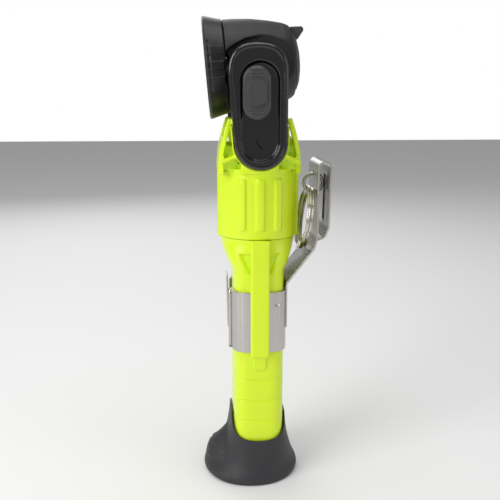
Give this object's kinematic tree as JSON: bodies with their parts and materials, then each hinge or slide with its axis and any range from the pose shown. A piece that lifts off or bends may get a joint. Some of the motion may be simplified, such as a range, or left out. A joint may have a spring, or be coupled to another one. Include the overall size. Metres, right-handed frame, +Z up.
{
  "type": "firefighter flashlight",
  "caption": "Right-angle firefighter flashlight with tilting head, slide switch, rubber foot and steel belt clip with rings.",
  "frame": {"origin": "middle of the barrel at the foot's flat base", "axes": "+Z up the barrel, the beam leaves towards -Y, the belt clip is at +Y, +X is the side with the switch slider"},
  "size_m": [0.0614, 0.0646, 0.2397],
  "materials": {
    "lime_plastic": "fluorescent yellow-green moulded plastic, semi-gloss",
    "gloss_black": "glossy black plastic with a polished rim",
    "satin_black": "fine spark-textured black plastic",
    "grey_plastic": "dark grey satin plastic",
    "rubber": "charcoal moulded rubber",
    "steel": "bright stainless spring steel",
    "brass": "plain",
    "board": "green circuit board",
    "cell_wrap": "plain printed-free metallic wrap",
    "aluminium": "machined",
    "lens": "clear polycarbonate",
    "mirror_coat": "vacuum-metallised reflector"
  },
  "bodies": {
    "root": {"barrel": "lime_plastic", "neck_seal": "rubber", "rubber_foot": "rubber", "belt_clip": "steel", "battery_cassette": "satin_black", "cell_1": "cell_wrap", "cell_2": "cell_wrap", "cell_3": "cell_wrap", "cell_4": "cell_wrap", "contact_spring_left": "steel", "contact_spring_right": "steel", "contact_plate": "brass", "contact_bridge": "brass", "contact_board": "board"},
    "top": {"yoke": "lime_plastic", "arm_right": "gloss_black", "arm_left": "gloss_black", "arm_liner_right": "satin_black", "arm_liner_left": "satin_black", "arm_screw_right_lower": "steel", "arm_screw_right_upper": "steel", "arm_screw_left_lower": "steel", "arm_screw_left_upper": "steel", "pivot_pin_right": "steel", "pivot_pin_left": "steel", "switch_board": "board"},
    "slider": {"switch_slider": "grey_plastic", "slider_magnet": "steel"},
    "head": {"head_housing": "satin_black", "bezel": "satin_black", "lens": "lens", "lens_gasket": "rubber", "reflector": "mirror_coat", "led": "lens", "led_board": "board", "heat_sink": "aluminium", "driver_board": "board", "rear_cap": "grey_plastic", "detent_spring": "steel", "detent_ball": "steel"},
    "jump_ring": {"jump_ring": "steel"},
    "ring_outer": {"split_ring_outer": "steel"},
    "ring_inner": {"split_ring_inner": "steel"}
  },
  "joints": [
    {"name": "battery_twist", "type": "hinge", "parent": "root", "child": "top", "pos_m": [0, 0, 0.145], "axis": [0, 0, 1], "range_deg": [0, 45]},
    {"name": "head_tilt", "type": "hinge", "parent": "top", "child": "head", "pos_m": [0, -0.0018, 0.2115], "axis": [-1, 0, 0], "range_deg": [0, 90]},
    {"name": "switch_slide", "type": "slide", "parent": "top", "child": "slider", "axis": [0, 0, -1], "range_m": [0, 0.015]},
    {"name": "jump_ring_turn", "type": "hinge", "parent": "root", "child": "jump_ring", "pos_m": [0, 0.0292, 0.1576], "axis": [1, 0, 0], "continuous": true},
    {"name": "ring_outer_swing", "type": "hinge", "parent": "root", "child": "ring_outer", "pos_m": [0, 0.028, 0.1549], "axis": [0, 0.9903, -0.1392], "range_deg": [-25, 25]},
    {"name": "ring_inner_swing", "type": "hinge", "parent": "root", "child": "ring_inner", "pos_m": [0, 0.0264, 0.156], "axis": [0, 0.9903, -0.1392], "range_deg": [-25, 25]}
  ]
}
